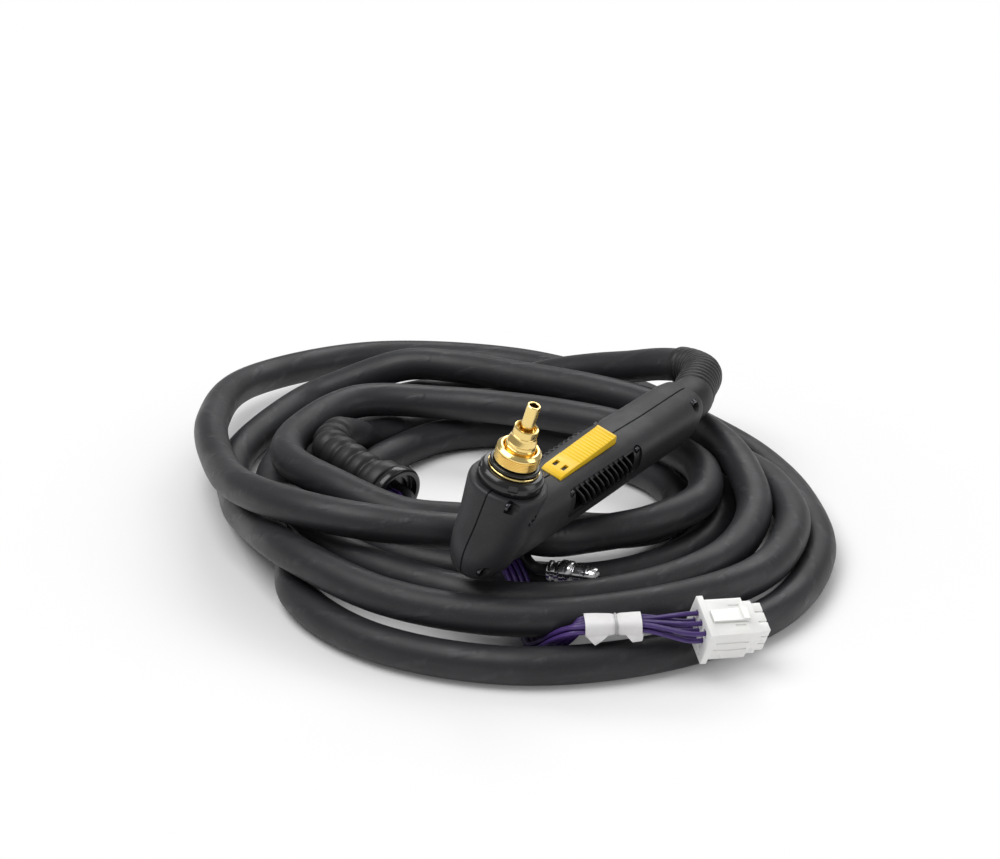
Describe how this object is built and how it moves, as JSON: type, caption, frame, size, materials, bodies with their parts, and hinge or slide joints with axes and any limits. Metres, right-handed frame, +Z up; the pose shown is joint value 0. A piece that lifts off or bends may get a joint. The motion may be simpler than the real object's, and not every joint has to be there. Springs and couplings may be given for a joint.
{
  "type": "plasma cutting torch",
  "caption": "Hand-held cutting torch with an upright brass head, yellow trigger and vented black handle, on its long coiled lead with gland, gas fitting and signal plug.",
  "frame": {"origin": "centre of the torch's own bounding box, without the lead and what is on it", "axes": "+X from the head to the rear end of the handle, +Z up, +Y to the torch's left side"},
  "size_m": [0.3673, 0.4204, 0.1315],
  "materials": {
    "shell_plastic": "fine leather-like grain, semi-matte",
    "black_plastic": "smooth, semi-gloss",
    "yellow_plastic": "satin moulded",
    "brass": "turned, bright",
    "sheath_rubber": "smooth, dull sheen",
    "boot_rubber": "moulded, dull",
    "chrome": "polished",
    "screw_steel": "bright zinc",
    "purple_sleeving": "smooth, satin",
    "white_tape": "matt film",
    "natural_nylon": "satin moulded"
  },
  "bodies": {
    "torch_body": {"shell_right": "shell_plastic", "shell_left": "shell_plastic", "head_insulator": "black_plastic", "head_collar": "black_plastic", "head_seal": "boot_rubber", "head_washer": "brass", "head_ring": "brass", "electrode_sleeve": "brass", "gas_tube": "brass", "trigger_pin": "screw_steel", "switch_body": "black_plastic", "vent_right": "black_plastic", "vent_left": "black_plastic", "case_screw_front": "screw_steel", "case_screw_heel": "screw_steel", "case_screw_rear": "screw_steel", "side_screw": "screw_steel", "vent_screw_right_front": "screw_steel", "vent_screw_right_rear": "screw_steel", "vent_screw_left_front": "screw_steel", "vent_screw_left_rear": "screw_steel", "feed_tube": "brass", "pilot_wire": "black_plastic", "switch_wire_right": "purple_sleeving", "switch_wire_left": "purple_sleeving", "lead_boot": "boot_rubber", "torch_lead": "sheath_rubber", "gland_boot": "boot_rubber", "gland_collar": "boot_rubber", "gland_flange": "black_plastic", "gas_hose": "sheath_rubber", "fitting_ferrule": "chrome", "fitting_nose": "chrome", "signal_wire_1": "purple_sleeving", "signal_wire_2": "purple_sleeving", "signal_wire_3": "purple_sleeving", "signal_wire_4": "purple_sleeving", "signal_wire_5": "purple_sleeving", "signal_wire_6": "purple_sleeving", "signal_wire_7": "purple_sleeving", "signal_wire_8": "purple_sleeving", "label_tag": "white_tape", "label_tie": "white_tape", "plug_housing": "natural_nylon", "plug_latch": "natural_nylon"},
    "trigger": {"trigger_lever": "yellow_plastic"},
    "switch_button": {"switch_plunger": "yellow_plastic"},
    "gas_nut": {"fitting_nut": "chrome"}
  },
  "joints": [
    {"name": "trigger_hinge", "type": "hinge", "parent": "torch_body", "child": "trigger", "pos_m": [-0.03091, 0.0015, -0.01367], "axis": [0, 0.9489, 0.3156], "range_deg": [0, 4], "stiffness_Nm_per_rad": 0.8, "springref_deg": -5.73},
    {"name": "switch_button_slide", "type": "slide", "parent": "torch_body", "child": "switch_button", "axis": [0, 0.3156, -0.9489], "range_m": [0, 0.0026]},
    {"name": "gas_nut_turn", "type": "hinge", "parent": "torch_body", "child": "gas_nut", "pos_m": [-0.03343, -0.02548, -0.06247], "axis": [0.2153, -0.9765, 0], "continuous": true}
  ],
  "couplings": [
    {"joint": "switch_button_slide", "follows": "trigger_hinge", "m_per_rad": 0.032}
  ]
}
